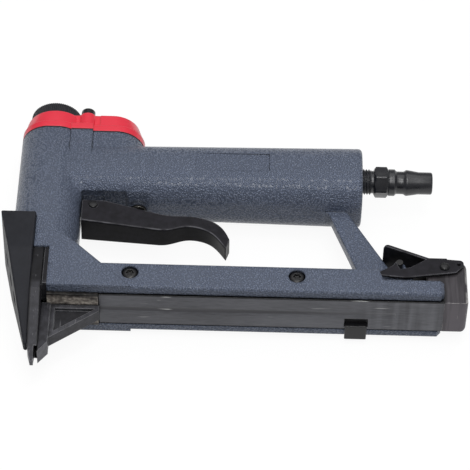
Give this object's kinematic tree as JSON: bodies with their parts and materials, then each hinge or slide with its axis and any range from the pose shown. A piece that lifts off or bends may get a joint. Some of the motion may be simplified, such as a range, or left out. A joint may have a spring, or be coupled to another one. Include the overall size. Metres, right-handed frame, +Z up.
{
  "type": "pneumatic picture frame nailer",
  "caption": "Hand held air nailer for picture frames: head with round deflector, straight handle, hooked trigger, wedge nose guide and a latched slide-out magazine.",
  "frame": {"origin": "on the surface that the tool lies on, under the middle of its box", "axes": "the tool lies on its right side: +X runs from the nose to the rear, +Y from the nose tip to the deflector along the drive line, +Z up out of the left side"},
  "size_m": [0.2269, 0.1626, 0.04],
  "materials": {
    "casting": "hammertone slate paint",
    "cap": "gloss red paint",
    "rubber": "black rubber",
    "deflector": "moulded black",
    "screws": "black oxide",
    "bright_aluminium": "turned",
    "tool_steel": "ground",
    "spring_steel": "drawn wire",
    "black_sheet": "satin black over steel sheet",
    "valve_brass": "darkened brass",
    "black_plug": "black oxide",
    "dark_steel": "dark phosphated steel",
    "nose_steel": "dark steel, rubbed grey",
    "shoe_steel": "dark steel worn bright",
    "magazine_steel": "dark worn steel",
    "block_steel": "dark browned steel",
    "pusher": "moulded black"
  },
  "bodies": {
    "frame": {"body_casting": "casting", "top_cap": "cap", "cap_gasket": "rubber", "cap_screws": "screws", "deflector_screw": "screws", "cylinder_sleeve": "bright_aluminium", "cylinder_seals": "rubber", "bumper": "rubber", "head_valve_spring": "spring_steel", "trigger_pin": "screws", "trigger_valve_body": "valve_brass", "trigger_valve_spring": "spring_steel", "air_plug": "black_plug", "front_wedge": "dark_steel", "wedge_screws": "screws", "nose_front_plate": "nose_steel", "nose_rear_plate": "nose_steel", "nose_plate_screws": "screws", "nose_bracket": "nose_steel", "nail_rail": "shoe_steel", "rail_screws": "screws", "keeper_pin": "screws"},
    "exhaust_deflector": {"exhaust_deflector": "deflector"},
    "drive": {"piston": "bright_aluminium", "piston_seal": "rubber", "driver_blade": "tool_steel"},
    "head_valve": {"head_valve": "deflector"},
    "trigger": {"trigger": "black_sheet"},
    "valve_stem": {"trigger_valve_stem": "tool_steel"},
    "magazine": {"magazine_channel": "magazine_steel", "magazine_end_block": "block_steel", "stop_clip": "screws", "guide_rod": "tool_steel", "latch_pin": "screws", "latch_spring": "spring_steel", "pusher_spring": "spring_steel"},
    "latch": {"latch_lever": "black_sheet"},
    "pusher": {"pusher": "pusher"}
  },
  "joints": [
    {"name": "trigger_pull", "type": "hinge", "parent": "frame", "child": "trigger", "pos_m": [-0.06993, 0.0157, 0.02], "axis": [0, 0, 1], "range_deg": [0, 8], "stiffness_Nm_per_rad": 0.6, "springref_deg": -6.88},
    {"name": "valve_stem_slide", "type": "slide", "parent": "frame", "child": "valve_stem", "axis": [0, 1, 0], "range_m": [0, 0.00359], "deforming": ["trigger_valve_spring"]},
    {"name": "drive_stroke", "type": "slide", "parent": "frame", "child": "drive", "axis": [0, -1, 0], "range_m": [0, 0.0441]},
    {"name": "head_valve_lift", "type": "slide", "parent": "frame", "child": "head_valve", "axis": [0, 1, 0], "range_m": [0, 0.002], "stiffness_N_per_m": 800, "springref_m": -0.003, "deforming": ["head_valve_spring"]},
    {"name": "deflector_turn", "type": "hinge", "parent": "frame", "child": "exhaust_deflector", "pos_m": [-0.09223, 0.0727, 0.02], "axis": [0, 1, 0], "continuous": true},
    {"name": "magazine_slide", "type": "slide", "parent": "frame", "child": "magazine", "axis": [1, 0, 0], "range_m": [0, 0.11]},
    {"name": "latch_lift", "type": "hinge", "parent": "magazine", "child": "latch", "pos_m": [0.10257, -0.0245, 0.02], "axis": [0, 0, -1], "range_deg": [0, 25], "stiffness_Nm_per_rad": 0.4, "springref_deg": -8.59, "deforming": ["latch_spring"]},
    {"name": "pusher_slide", "type": "slide", "parent": "magazine", "child": "pusher", "axis": [1, 0, 0], "range_m": [0, 0.11], "stiffness_N_per_m": 60, "springref_m": -0.05, "deforming": ["pusher_spring"]}
  ],
  "couplings": [
    {"joint": "valve_stem_slide", "follows": "trigger_pull", "m_per_rad": 0.0243}
  ]
}
